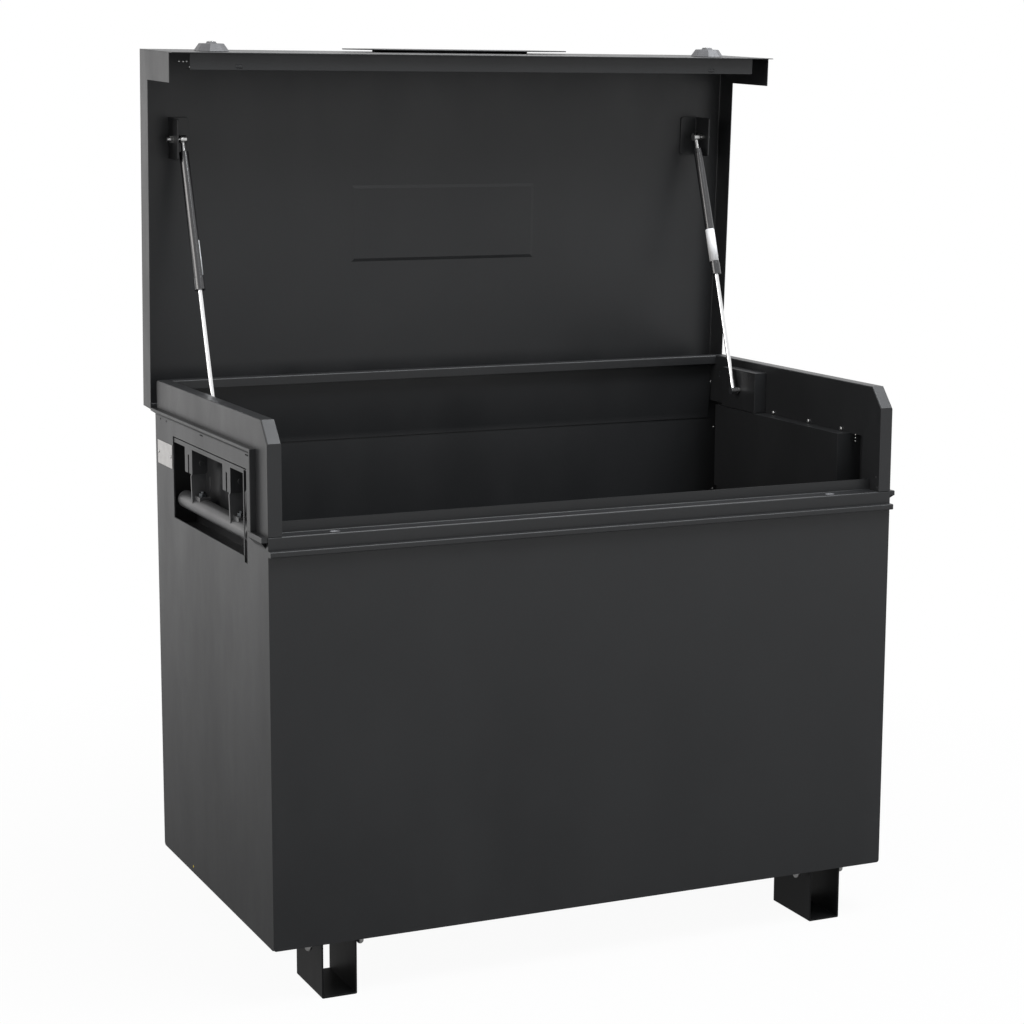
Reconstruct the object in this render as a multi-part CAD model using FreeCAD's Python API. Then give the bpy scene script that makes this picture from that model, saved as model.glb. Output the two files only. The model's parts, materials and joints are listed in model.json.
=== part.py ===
import FreeCAD, Part
import math
import os

# Jobsite box: a sheet steel site chest on four bolted feet, with a gas strut lid,
# two drop handles in side pockets and two knob locks in the lid's front skirt.
#
# Millimetres. X runs across the box (left is -X), Z is up from the floor.
# Everything is drawn with Y = 0 on the front panel's face and +Y to the rear, and the
# lid is drawn closed. At the end the lid is swung open about its hinge, and the whole
# box is moved so that the origin lies on the floor, under the middle of the open box.

V = FreeCAD.Vector
AXIS_X = V(1, 0, 0)
AXIS_Y = V(0, 1, 0)
AXIS_Z = V(0, 0, 1)
ORIGIN = V(0, 0, 0)

# Body
body_width = 1204.0
body_depth = 650.0
half_width = body_width / 2
sheet = 1.5
floor_sheet = 2.0
fold_outside = 3.0
fold_inside = 1.5
panel_corner = 5.0
foot_height = 100.0
rim_top = 1000.0

# Front ledge, with the lip that runs under it
ledge_top = 809.0
ledge_depth = 31.0
upstand_top = 829.0
lip_proud = 12.0
lip_top = 786.0
lip_bottom = 776.0
lip_round = 2.0

# Collars: box sections that stand above the side panels
collar_thick = 25.0
collar_rear = 640.0
collar_web_bottom = 905.0
chamfer_depth = 31.5
chamfer_height = 36.5
collar_corner = 8.0
collar_round = 2.5
chamfer_skin = 0.6
collar_room = 0.5

# Side hem: the flared edge of each side panel
hem_proud = 11.0
hem_top = 948.0
hem_face = 5.0
hem_drop = 12.0
hem_rear = 643.0
hem_round = 1.5
hem_bend = 6.0
hem_foot = 2.0
notch_depth = 59.0
notch_hem_face = 9.0
notch_hem_drop = 20.0
mitre_front = 3.4
mitre_rear = 13.5
slit_middles = (361.0, 105.0)
slit_long = 18.0
slit_bottom = 930.5
slit_tall = 2.0

# Rear rim
rim_front = 618.0
rim_return = 17.0
rim_bend = 940.0
rim_slope_foot = 880.0
rim_foot = 868.0

# Handle pockets
opening_middle = 335.3
opening_length = 405.0
opening_bottom = 756.5
opening_top = 897.0
cutout_front = 109.5
cutout_top = 907.5
relief_wide = 15.0
relief_bottom = 746.0
frame_sheet = 1.5
frame_front = 128.0
frame_inset = 2.0
pocket_front = 102.0
pocket_rear = 568.0
pocket_bottom = 740.0
pocket_top = 905.0
pocket_depth = 52.0

# Drop handles
fork_offset = 111.4
fork_width = 44.0
fork_bottom = 852.0
fork_depth = 30.0
fork_corner = 6.0
slot_width = 7.0
slot_top = 885.5
pivot_depth = 20.0
pivot_height = 872.0
pivot_radius = 4.0
pivot_head_high = 1.8
pivot_head_over = 1.5
running_fit = 0.05
grip_depth = 22.0
grip_height = 790.3
grip_radius = 16.0
grip_wall = 2.0
grip_length = 398.0
grip_round = 1.5
strap_thick = 5.0
strap_eye = 12.0
strap_edge_top = 5.5
strap_edge_foot = 7.0
strap_straight = 20.0
strap_shoulder = 6.0
strap_toe = 2.0
strap_heel = 6.0
strap_foot = 34.0
strap_foot_half = 10.0
strap_foot_thick = 4.0
strap_bolt_offset = 18.0
grip_cap = 3.0

# Feet
foot_offset = 484.0
foot_width = 64.0
foot_length = 130.0
foot_sheet = 3.0
foot_flange = 33.0
foot_bolt_out = 15.0
foot_bolt_rows = (24.0, 106.0)
foot_bolt_end = 84.0
foot_round = 2.5
panel_bottom = foot_height - foot_sheet

# Metric fasteners
bolt_radius = 4.0
bolt_hole = 4.5
nut_flats = 13.0
nut_high = 6.5
cap_nut_high = 15.0
cap_radius = 6.3
cap_room = 0.5
washer_radius = 8.0
washer_thick = 1.6
head_radius = 8.0
head_high = 4.0
thread_past_nut = 3.0

# Hinge
hinge_y = 647.0
hinge_z = 946.0
open_angle = 87.5
knuckle_radius = 4.5
hinge_pin_radius = 2.5
hinge_half = 575.0
knuckle_count = 23
knuckle_gap = 0.6
leaf_sheet = 1.5
leaf_wide = 29.0
knuckle_room = 5.0

# Lid
lid_width = 1220.0
lid_half = lid_width / 2
lid_top = 1003.0
lid_front = -lip_proud
lid_rear = 649.5
skirt_bottom = 952.0
tab_bottom = 814.5
tab_length = 54.0
front_skirt_bottom = 796.5
emboss_half = 193.5
emboss_front = 242.0
emboss_rear = 389.0
emboss_deep = 1.5
emboss_slope = 6.0
lid_edge = 6.0

# Lock rail, knobs and bolts
rail_half = 572.0
rail_bottom = 811.5
rail_rear = 19.0
rail_high = 20.0
knob_offset = 509.7
knob_height = 884.6
knob_base = 60.0
knob_top = 42.0
knob_high = 13.5
grip_bar_high = 17.0
grip_bar_base = 20.0
grip_bar_top = 12.5
grip_bar_lean = 23.0
knob_gap = 0.3
spindle_radius = 6.0
spindle_proud = 10.0
spindle_inside = 14.0
spindle_clear = 0.1
lever_inside = 11.0
lever_thick = 3.0
lever_hub = 9.0
lever_end = 5.0
cam_radius = 20.0
cam_pin_radius = 3.0
cam_pin_long = 8.0
bolt_offset = 480.6
bolt_y = 13.0
bolt_wide = 12.0
bolt_thick = 6.0
bolt_bottom = rail_bottom
bolt_top = 932.0
bolt_end_round = 2.0
yoke_thick = 3.0
yoke_overlap = 0.2
yoke_past_knob = 12.0
yoke_below = 14.0
yoke_above = 10.0
window_past_knob = 5.0
window_below = 9.0
window_above = 5.0
window_relief = 0.1
guide_top = 906.0
guide_half = 14.0
bolt_clear = 0.2
ledge_slot_long = 16.0
ledge_slot_wide = 10.0

# Lid pull handle
pull_half = 232.0
pull_taper = 70.0
pull_middle = 953.0
pull_tall = 56.0
pull_tip = 4.0
pull_proud = 6.0
pull_sheet = 2.0
ear_offset = 111.0
ear_width = 64.0
ear_deep = 5.0
ear_slope = 10.0

# Gas struts
strut_x = 539.4
upper_ball_y = 150.8
upper_ball_z = 970.5
lower_ball_y = 477.2
lower_ball_z = 944.7
tube_radius = 9.0
tube_wall = 1.0
tube_start = 25.0
tube_end_wall = 5.0
shank_radius = 4.0
shank_in_tube = 3.5
tube_end = 287.0
gland_length = 23.0
gland_radius = 9.8
rod_radius = 4.0
rod_start = 250.0
piston_long = 8.0
piston_clear = 0.3
rod_end_fitting = 22.0
fitting_radius = 5.0
ball_radius = 5.0
socket_radius = 7.5
socket_clear = 0.3
socket_open_side = 3.0
mouth_lip = 0.6
stud_radius = 3.0
stud_collar_radius = 6.0
stud_collar_thick = 3.0
lower_stud_long = 14.0
upper_stud_long = 15.0

# Strut brackets
upper_leg_x = 553.5
bracket_sheet = 3.0
upper_leg_deep = 56.5
upper_flat_wide = 34.0
upper_corner = 5.0
upper_bracket_front = 112.0
upper_bracket_rear = 188.0
lower_face_x = 551.0
lower_bracket_front = 413.5
lower_bracket_rear = 542.0
lower_bracket_bottom = 906.0
lower_bracket_top = 985.0

# Screws in the collars' inner faces
screw_middles = (133.0, 250.0, 382.5)
screw_height = 909.5
screw_head_radius = 4.0
screw_head_high = 3.0

# Rating plate
plate_front = 543.5
plate_rear = 635.0
plate_bottom = 845.5
plate_top = 889.5
plate_thick = 1.0
rivet_radius = 3.0
rivet_high = 1.2
rivet_inset = 7.0


def box(x0, x1, y0, y1, z0, z1):
    """A block between two corners."""
    return Part.makeBox(x1 - x0, y1 - y0, z1 - z0, V(x0, y0, z0))


def rod(start, axis, radius, length):
    """A round bar from a point along an axis."""
    return Part.makeCylinder(radius, length, start, axis)


def corner_points(before, corner, after, radius):
    """The start, middle and end of the arc that rounds a corner."""
    back = (before - corner).normalize()
    ahead = (after - corner).normalize()
    half = back.getAngle(ahead) / 2
    reach = radius / math.tan(half)
    bisector = (back + ahead).normalize()
    middle = corner + bisector * (radius / math.sin(half) - radius)
    return corner + back * reach, middle, corner + ahead * reach


def prism(corners, sweep, radii=()):
    """A flat outline pushed along a vector, with the corners that have a radius rounded."""
    count = len(corners)
    radii = list(radii) or [0] * count
    starts = []
    ends = []
    edges = []
    for i in range(count):
        if radii[i] > 0:
            after = corners[(i + 1) % count]
            start, middle, end = corner_points(corners[i - 1], corners[i], after, radii[i])
            edges.append(Part.Arc(start, middle, end).toShape())
        else:
            start = end = corners[i]
        starts.append(start)
        ends.append(end)
    for i in range(count):
        edges.append(Part.LineSegment(ends[i], starts[(i + 1) % count]).toShape())
    wire = Part.Wire(Part.__sortEdges__(edges))
    return Part.Face(wire).extrude(sweep)


def split(outline):
    """An outline's places and radii. A corner without a radius is sharp."""
    places = [corner[:2] for corner in outline]
    radii = [corner[2] if len(corner) > 2 else 0 for corner in outline]
    return places, radii


def along_x(outline, x0, x1):
    """An outline of (y, z) or (y, z, radius) pushed along X."""
    places, radii = split(outline)
    corners = [V(x0, y, z) for y, z in places]
    return prism(corners, V(x1 - x0, 0, 0), radii)


def along_y(outline, y0, y1):
    """An outline of (x, z) or (x, z, radius) pushed along Y."""
    places, radii = split(outline)
    corners = [V(x, y0, z) for x, z in places]
    return prism(corners, V(0, y1 - y0, 0), radii)


def along_z(outline, z0, z1):
    """An outline of (x, y) or (x, y, radius) pushed along Z."""
    places, radii = split(outline)
    corners = [V(x, y, z0) for x, y in places]
    return prism(corners, V(0, 0, z1 - z0), radii)


def join(shapes):
    """One solid from several that touch."""
    whole = shapes[0]
    for shape in shapes[1:]:
        whole = whole.fuse(shape)
    return whole.removeSplitter()


def cut(shape, tools):
    """A solid less several others."""
    for tool in tools:
        shape = shape.cut(tool)
    return shape


def mirrored(shape):
    """The same piece on the other side of the box."""
    return shape.mirror(ORIGIN, AXIS_X)


def rounded(shape, radius, wanted):
    """The shape with the edges picked by a test on their middle points rounded."""
    edges = []
    for edge in shape.Edges:
        if wanted(edge):
            edges.append(edge)
    return shape.makeFillet(radius, edges)


def hexagon(middle, axis, flats, length):
    """A hexagonal bar along an axis."""
    corner = flats / math.sqrt(3)
    points = []
    for i in range(6):
        angle = math.radians(60 * i)
        points.append(V(corner * math.cos(angle), corner * math.sin(angle), 0))
    bar = prism(points, V(0, 0, length))
    bar.Placement = FreeCAD.Placement(middle, FreeCAD.Rotation(AXIS_Z, axis))
    return bar


def nut(middle, axis):
    """A hexagonal nut with its bore, standing on a point."""
    return hexagon(middle, axis, nut_flats, nut_high).cut(
        rod(middle, axis, bolt_radius + running_fit, nut_high))


def foot_places():
    """Each foot's name, the middle of its width, and its front end."""
    for depth_name, y0 in (("front", sheet), ("rear", body_depth - sheet - foot_length)):
        for side_name, side in (("left", -1), ("right", 1)):
            yield depth_name + "_" + side_name + "_foot", side * foot_offset, y0


def foot_bolt_places():
    """The sixteen bolts that hold the feet."""
    out = foot_width / 2 + foot_bolt_out
    for _, middle, y0 in foot_places():
        for row in foot_bolt_rows:
            for x in (middle - out, middle + out):
                yield x, y0 + row


def foot(middle, y0):
    """A top-hat bracket: two flanges under the floor and a flat sole."""
    half = foot_width / 2
    reach = half + foot_flange
    inner = half - foot_sheet
    under = panel_bottom
    outline = [
        (-reach, foot_height), (-reach, under), (-half, under), (-half, 0),
        (half, 0), (half, under), (reach, under), (reach, foot_height),
        (inner, foot_height), (inner, foot_sheet), (-inner, foot_sheet), (-inner, foot_height),
    ]
    shape = along_y([(middle + x, z) for x, z in outline], y0, y0 + foot_length)

    def sole_edge(edge):
        middle_point = edge.CenterOfMass
        return abs(middle_point.z) < 0.01 and abs(edge.Length - foot_length) < 0.01

    shape = rounded(shape, foot_round, sole_edge)
    holes = [rod(V(x, y, under - 1), AXIS_Z, bolt_hole, foot_sheet + 2)
             for x, y in foot_bolt_places()]
    return cut(shape, holes)


def end_panel(y0, top):
    """A flat front or back, with its lower corners rounded."""
    return along_y([
        (-half_width, panel_bottom, panel_corner), (half_width, panel_bottom, panel_corner),
        (half_width, top), (-half_width, top),
    ], y0, y0 + sheet)


def floor_panel():
    """The floor plate, drilled for the feet."""
    shape = box(-half_width + sheet, half_width - sheet, sheet, body_depth - sheet,
                foot_height, foot_height + floor_sheet)
    holes = [rod(V(x, y, foot_height - 1), AXIS_Z, bolt_hole, floor_sheet + 2)
             for x, y in foot_bolt_places()]
    return cut(shape, holes)


def foot_bolts():
    """Dome head bolts, put in from inside the box."""
    bolts = []
    top = foot_height + floor_sheet
    for x, y in foot_bolt_places():
        shank = rod(V(x, y, foot_bolt_end), AXIS_Z, bolt_radius, top - foot_bolt_end)
        head = rod(V(x, y, top), AXIS_Z, head_radius, head_high)
        head = rounded(head, head_high * 0.7, lambda edge: edge.CenterOfMass.z > top + 1)
        bolts.append(shank.fuse(head))
    return Part.Compound(bolts)


def foot_washers():
    """The washers between the feet's flanges and their nuts."""
    solids = []
    for x, y in foot_bolt_places():
        start = V(x, y, panel_bottom - washer_thick)
        disc = rod(start, AXIS_Z, washer_radius, washer_thick)
        solids.append(disc.cut(rod(start, AXIS_Z, bolt_hole, washer_thick)))
    return Part.Compound(solids)


def foot_nuts():
    """Domed cap nuts under the feet's washers."""
    top = panel_bottom - washer_thick
    hexagon_foot = top - nut_high
    dome_middle = top - cap_nut_high + cap_radius
    bore_end = foot_bolt_end - cap_room
    solids = []
    for x, y in foot_bolt_places():
        sides = hexagon(V(x, y, hexagon_foot), AXIS_Z, nut_flats, nut_high)
        neck = rod(V(x, y, dome_middle), AXIS_Z, cap_radius, hexagon_foot - dome_middle + 1)
        dome = Part.makeSphere(cap_radius, V(x, y, dome_middle))
        bore = rod(V(x, y, bore_end), AXIS_Z, bolt_radius + running_fit, top - bore_end)
        solids.append(join([sides, neck, dome]).cut(bore))
    return Part.Compound(solids)


def right_side_panel():
    """A flat side, notched at the front and cut out for the handle pocket."""
    notch_inner = notch_depth + hem_drop + hem_foot
    notch_floor = ledge_top - notch_hem_drop - hem_foot
    top = hem_top - hem_drop - hem_foot
    outline = [
        (sheet, panel_bottom, panel_corner), (body_depth - sheet, panel_bottom, panel_corner),
        (body_depth - sheet, top), (notch_inner, top), (notch_inner, notch_floor), (sheet, notch_floor),
    ]
    inside = half_width - sheet
    shape = along_x(outline, inside, half_width)
    opening_rear = opening_middle + opening_length / 2
    holes = [
        box(inside - 1, half_width + 1, cutout_front, opening_rear, opening_bottom, cutout_top),
        box(inside - 1, half_width + 1, cutout_front, cutout_front + relief_wide,
            relief_bottom, opening_bottom + 1),
    ]
    for y in slit_middles:
        holes.append(box(inside - 1, half_width + 1, y - slit_long / 2, y + slit_long / 2,
                         slit_bottom, slit_bottom + slit_tall))
    return cut(shape, holes)


def right_side_hem():
    """The flared edge along the side panel's top, down its notch and along the notch floor."""
    inside = half_width - sheet
    outside = half_width + hem_proud
    flare = [
        (half_width, hem_drop + hem_foot), (half_width, hem_drop, hem_bend),
        (outside, hem_face, hem_round), (outside, 0, hem_round),
        (inside, 0), (inside, hem_drop + hem_foot),
    ]
    top_leg = along_y([(corner[0], hem_top - corner[1]) + corner[2:] for corner in flare],
                      notch_depth, hem_rear)
    notch_leg = along_z([(corner[0], notch_depth + corner[1]) + corner[2:] for corner in flare],
                        ledge_top - notch_hem_face, hem_top)
    far = hem_drop + hem_foot + 1
    high_end = (notch_depth - 1, hem_top + 1)
    low_end = (notch_depth + far, hem_top - far)
    notch_leg = notch_leg.cut(along_x([
        high_end, (notch_depth + far, hem_top + 1), low_end,
    ], inside - 1, outside + 1))
    top_leg = top_leg.cut(along_x([
        high_end, (notch_depth - 1, hem_top - far), low_end,
    ], inside - 1, outside + 1))
    floor_end = notch_depth + hem_drop + hem_foot
    floor_foot = ledge_top - notch_hem_drop
    lip = along_y([
        (inside, ledge_top - notch_hem_face), (outside, ledge_top - notch_hem_face),
        (outside, ledge_top, hem_round), (inside, ledge_top),
    ], sheet, floor_end)
    under_lip = along_y([
        (inside, floor_foot - hem_foot), (half_width, floor_foot - hem_foot),
        (half_width, floor_foot, hem_bend), (outside, ledge_top - notch_hem_face),
        (inside, ledge_top - notch_hem_face),
    ], sheet, floor_end)
    mitre = along_z([
        (half_width, sheet - 1), (outside + 1, sheet - 1), (outside + 1, mitre_front),
        (outside, mitre_front), (half_width, mitre_rear),
    ], floor_foot - hem_foot - 1, ledge_top - notch_hem_face)
    return join([top_leg, notch_leg, lip, under_lip.cut(mitre)])


def right_collar():
    """A box section rail above the side, with a post down to the ledge at its front."""
    outline = [
        (0, ledge_top), (notch_depth, ledge_top), (notch_depth, collar_web_bottom),
        (collar_rear, collar_web_bottom), (collar_rear, rim_top),
        (chamfer_depth, rim_top), (0, rim_top - chamfer_height),
    ]
    inner_face = half_width - collar_thick
    outline = [corner + (collar_corner,) if corner == (collar_rear, rim_top) else corner
               for corner in outline]
    shape = along_x(outline, inner_face, half_width)

    def long_edge(edge):
        point = edge.CenterOfMass
        on_face = min(abs(point.x - inner_face), abs(point.x - half_width)) < 0.01
        free = point.z > ledge_top + 1 and point.y < collar_rear - 0.01
        return on_face and free and point.z > collar_web_bottom + 1

    shape = rounded(shape, collar_round, long_edge)
    low = ledge_top - 1
    hollow = along_x([
        (sheet, low), (notch_depth - sheet, low), (notch_depth - sheet, collar_web_bottom - 1),
        (collar_rear - sheet, collar_web_bottom - 1),
        (collar_rear - sheet, rim_top - collar_corner), (collar_rear - collar_corner, rim_top - sheet),
        (chamfer_depth + chamfer_skin, rim_top - sheet), (sheet, rim_top - chamfer_height - chamfer_skin),
    ], inner_face + sheet, half_width - sheet)
    behind_skin = box(half_width - sheet, half_width + 1, notch_depth, collar_rear + 1,
                      low, hem_top)
    return cut(shape, [hollow, behind_skin])


def front_ledge():
    """The folded sill: inner upstand, level shelf, front face and lip."""
    outline = [
        (ledge_depth, upstand_top), (ledge_depth + sheet, upstand_top),
        (ledge_depth + sheet, ledge_top - sheet, fold_outside), (sheet, ledge_top - sheet, fold_inside),
        (sheet, lip_bottom), (-lip_proud, lip_bottom, lip_round), (-lip_proud, lip_top, lip_round),
        (0, lip_top), (0, ledge_top, fold_outside), (ledge_depth, ledge_top, fold_inside),
    ]
    shape = along_x(outline, -half_width, half_width)
    cuts = []
    for side in (-1, 1):
        outer = sorted((side * (half_width + 1), side * (half_width - collar_thick - collar_room)))
        cuts.append(box(outer[0], outer[1], ledge_depth - 1, ledge_depth + sheet + 1,
                        ledge_top, upstand_top + 1))
        skin = sorted((side * (half_width - sheet), side * (half_width + 1)))
        cuts.append(box(skin[0], skin[1], sheet, ledge_depth + sheet + 1,
                        lip_bottom - 1, ledge_top))
        middle = side * bolt_offset
        reach = ledge_slot_long / 2 - ledge_slot_wide / 2
        cuts.append(box(middle - reach, middle + reach, bolt_y - ledge_slot_wide / 2,
                        bolt_y + ledge_slot_wide / 2, ledge_top - sheet - 1, ledge_top + 1))
        for end in (middle - reach, middle + reach):
            cuts.append(rod(V(end, bolt_y, ledge_top - sheet - 1), AXIS_Z,
                            ledge_slot_wide / 2, sheet + 2))
    return cut(shape, cuts)


def rear_rim():
    """The folded rail along the top of the back, joggled down onto the back panel."""
    back = body_depth - sheet
    outline = [
        (rim_front, rim_top - rim_return), (rim_front + sheet, rim_top - rim_return),
        (rim_front + sheet, rim_top - sheet, fold_inside),
        (collar_rear - sheet, rim_top - sheet, fold_inside),
        (collar_rear - sheet, rim_bend), (back - sheet, rim_slope_foot), (back - sheet, rim_foot),
        (back, rim_foot), (back, rim_slope_foot), (collar_rear, rim_bend),
        (collar_rear, rim_top, fold_outside), (rim_front, rim_top, fold_outside),
    ]
    half = half_width - collar_thick
    return along_x(outline, -half, half)


def right_pocket():
    """The closed box behind the handle's cut-out, open to the outside."""
    outer = half_width - sheet
    inner = half_width - pocket_depth
    shape = box(inner, outer, pocket_front, pocket_rear, pocket_bottom, pocket_top)
    hollow = box(inner + sheet, outer + 1, pocket_front + sheet, pocket_rear - sheet,
                 pocket_bottom + sheet, pocket_top - sheet)
    frame_room = box(outer - frame_sheet, outer + 1, frame_front, pocket_rear - frame_inset,
                     pocket_top - sheet - 1, pocket_top + 1)
    return cut(shape, [hollow, frame_room])


def right_pocket_frame():
    """The plate behind the cut-out, with two forks that carry the handle's pivots."""
    outer = half_width - sheet
    inner = outer - frame_sheet
    half_opening = opening_length / 2
    plate = box(inner, outer, frame_front, pocket_rear - frame_inset,
                pocket_bottom + frame_inset, pocket_top)
    opening = box(inner - 1, outer + 1, opening_middle - half_opening,
                  opening_middle + half_opening, opening_bottom, opening_top)
    solids = [plate.cut(opening)]
    for middle in (opening_middle - fork_offset, opening_middle + fork_offset):
        front = middle - fork_width / 2
        rear = middle + fork_width / 2
        face = box(inner, outer, front, rear, fork_bottom, opening_top)
        slot = box(inner - 1, outer + 1, middle - slot_width / 2, middle + slot_width / 2,
                   fork_bottom - 1, slot_top)
        solids.append(face.cut(slot))
        for y in (front, rear - frame_sheet):
            cheek = box(half_width - fork_depth, inner, y, y + frame_sheet, fork_bottom, opening_top)

            def low_inner(edge):
                point = edge.CenterOfMass
                return (abs(point.x - (half_width - fork_depth)) < 0.01
                        and abs(point.z - fork_bottom) < 0.01)

            solids.append(rounded(cheek, fork_corner, low_inner))
    shape = join(solids)
    bore = rod(V(half_width - pivot_depth, pocket_front, pivot_height), AXIS_Y,
               pivot_radius + running_fit, pocket_rear - pocket_front)
    return shape.cut(bore)


def handle_pivot_pins():
    """One pin across each fork, peened over at both ends."""
    pins = []
    head = pivot_head_high
    head_wide = pivot_radius + pivot_head_over
    length = fork_width + 2 * head
    for middle in (opening_middle - fork_offset, opening_middle + fork_offset):
        start = V(half_width - pivot_depth, middle - length / 2, pivot_height)
        pin = rod(start, AXIS_Y, pivot_radius, length)
        near_head = rod(start, AXIS_Y, head_wide, head)
        far_head = rod(start + V(0, length - head, 0), AXIS_Y, head_wide, head)
        pin = join([pin, near_head, far_head])
        pins.append(pin)
        pins.append(mirrored(pin))
    return Part.Compound(pins)


def strap_middles():
    """Where the two straps of a handle stand."""
    return (opening_middle - fork_offset, opening_middle + fork_offset)


def grip_bolt_places():
    """Where the bolts pass through a handle's tube."""
    return [middle - strap_bolt_offset for middle in strap_middles()]


def right_grip_tube():
    """The handle's tube, closed at its ends and drilled for its bolts."""
    x = half_width - grip_depth
    start = V(x, opening_middle - grip_length / 2, grip_height)
    tube = rod(start, AXIS_Y, grip_radius, grip_length)
    tube = rounded(tube, grip_round, lambda edge: abs(edge.Length - 2 * math.pi * grip_radius) < 0.1)
    hollow = rod(start + V(0, grip_cap, 0), AXIS_Y, grip_radius - grip_wall,
                 grip_length - 2 * grip_cap)
    holes = [rod(V(x, y, grip_height), AXIS_Z, bolt_radius + running_fit, 2 * grip_radius)
             for y in grip_bolt_places()]
    return cut(tube, [hollow] + holes)


def right_handle_straps():
    """Two flat links from the pivots to the tube, each with a foot bolted on the tube."""
    x = half_width - grip_depth
    pivot_x = half_width - pivot_depth
    solids = []
    tube = rod(V(x, 0, grip_height), AXIS_Y, grip_radius, body_depth)
    outer_low = half_width - strap_edge_foot
    outer_high = half_width - strap_edge_top
    inner = x - strap_eye
    shelf_top = grip_height + grip_radius + strap_foot_thick
    for middle in strap_middles():
        y0 = middle - strap_thick / 2
        y1 = middle + strap_thick / 2
        eye = rod(V(pivot_x, y0, pivot_height), AXIS_Y, strap_eye, strap_thick)
        link = along_y([
            (pivot_x + strap_eye, pivot_height),
            (pivot_x + strap_eye, pivot_height - strap_straight),
            (outer_high, pivot_height - strap_straight - strap_shoulder),
            (outer_low, grip_height + strap_toe), (x, grip_height), (inner, grip_height + strap_heel),
            (pivot_x - strap_eye, pivot_height),
        ], y0, y1)
        shelf = box(x - strap_foot_half, x + strap_foot_half, y1 - strap_foot, y1,
                    grip_height + grip_radius / 2, shelf_top)
        shape = join([eye, link, shelf])
        bore = rod(V(pivot_x, y0 - 1, pivot_height), AXIS_Y, pivot_radius + running_fit,
                   strap_thick + 2)
        hole = rod(V(x, middle - strap_bolt_offset, grip_height), AXIS_Z,
                   bolt_radius + running_fit, 2 * grip_radius)
        solids.append(cut(shape, [bore, hole, tube]))
    return Part.Compound(solids)


def right_handle_bolts():
    """The studs set in the tube, and the nuts that hold the straps' feet on them."""
    x = half_width - grip_depth
    shelf_top = grip_height + grip_radius + strap_foot_thick
    stud_foot = grip_height + grip_radius / 2
    solids = []
    for y in grip_bolt_places():
        solids.append(rod(V(x, y, stud_foot), AXIS_Z, bolt_radius,
                          shelf_top + nut_high + thread_past_nut - stud_foot))
        solids.append(nut(V(x, y, shelf_top), AXIS_Z))
    return Part.Compound(solids)


def right_lower_bracket():
    """A folded box on the collar's inner face that holds the strut's lower end."""
    wall = half_width - collar_thick
    shape = box(lower_face_x, wall, lower_bracket_front, lower_bracket_rear,
                lower_bracket_bottom, lower_bracket_top)
    hollow = box(lower_face_x + bracket_sheet, wall + 1, lower_bracket_front + bracket_sheet,
                 lower_bracket_rear - bracket_sheet, lower_bracket_bottom - 1,
                 lower_bracket_top - bracket_sheet)
    hole = rod(V(lower_face_x - 1, lower_ball_y, lower_ball_z), AXIS_X,
               bolt_radius + running_fit, bracket_sheet + 2)
    return cut(shape, [hollow, hole])


def stud(side, start_x, face_x, y, z, end_x):
    """A stud's neck, collar and thread, pointing outwards on one side of the box."""
    way = V(side, 0, 0)
    collar_start = face_x - stud_collar_thick
    neck = rod(V(side * start_x, y, z), way, stud_radius, collar_start - start_x)
    collar = rod(V(side * collar_start, y, z), way, stud_collar_radius, stud_collar_thick)
    thread = rod(V(side * face_x, y, z), way, bolt_radius, end_x - face_x)
    return join([neck, collar, thread])


def lower_studs():
    """The studs at the struts' lower ends, with their nuts."""
    start = strut_x + socket_radius + socket_clear
    solids = []
    for side in (-1, 1):
        solids.append(stud(side, start, lower_face_x, lower_ball_y, lower_ball_z,
                           lower_face_x + lower_stud_long))
        solids.append(nut(V(side * (lower_face_x + bracket_sheet), lower_ball_y, lower_ball_z),
                          V(side, 0, 0)))
    return Part.Compound(solids)


def knuckle_spans():
    """The start and end of each hinge knuckle along X."""
    pitch = 2 * hinge_half / knuckle_count
    for i in range(knuckle_count):
        start = -hinge_half + i * pitch
        yield i, start + knuckle_gap / 2, start + pitch - knuckle_gap / 2


def hinge_leaf(owner, y0, sign):
    """A leaf of the long hinge with every second knuckle."""
    axis_point = V(0, hinge_y, hinge_z)
    far = hinge_z + sign * leaf_wide
    near = hinge_z
    low, high = sorted((far, near))
    shape = box(-hinge_half, hinge_half, y0, y0 + leaf_sheet, low, high)
    barrels = []
    rooms = []
    for i, x0, x1 in knuckle_spans():
        if i % 2 == owner:
            barrels.append(rod(V(x0, axis_point.y, axis_point.z), AXIS_X, knuckle_radius, x1 - x0))
        else:
            rooms.append(box(x0 - knuckle_gap, x1 + knuckle_gap, y0 - 1, y0 + leaf_sheet + 1,
                             hinge_z - knuckle_room, hinge_z + knuckle_room))
    shape = cut(shape, rooms)
    shape = join([shape] + barrels)
    bore = rod(V(-hinge_half - 1, axis_point.y, axis_point.z), AXIS_X,
               hinge_pin_radius + running_fit, 2 * hinge_half + 2)
    return shape.cut(bore)


def hinge_pin():
    """The long hinge's pin."""
    return rod(V(-hinge_half - 2, hinge_y, hinge_z), AXIS_X, hinge_pin_radius, 2 * hinge_half + 4)


def rating_plate():
    """A bare plate on the left side."""
    return box(-half_width - plate_thick, -half_width, plate_front, plate_rear,
               plate_bottom, plate_top)


def plate_rivets():
    """Two rivets on the plate's middle line."""
    z = (plate_bottom + plate_top) / 2
    rivets = []
    outer = -half_width - plate_thick
    for y in (plate_front + rivet_inset, plate_rear - rivet_inset):
        rivets.append(rod(V(outer - rivet_high, y, z), AXIS_X, rivet_radius, rivet_high))
    return Part.Compound(rivets)


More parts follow.
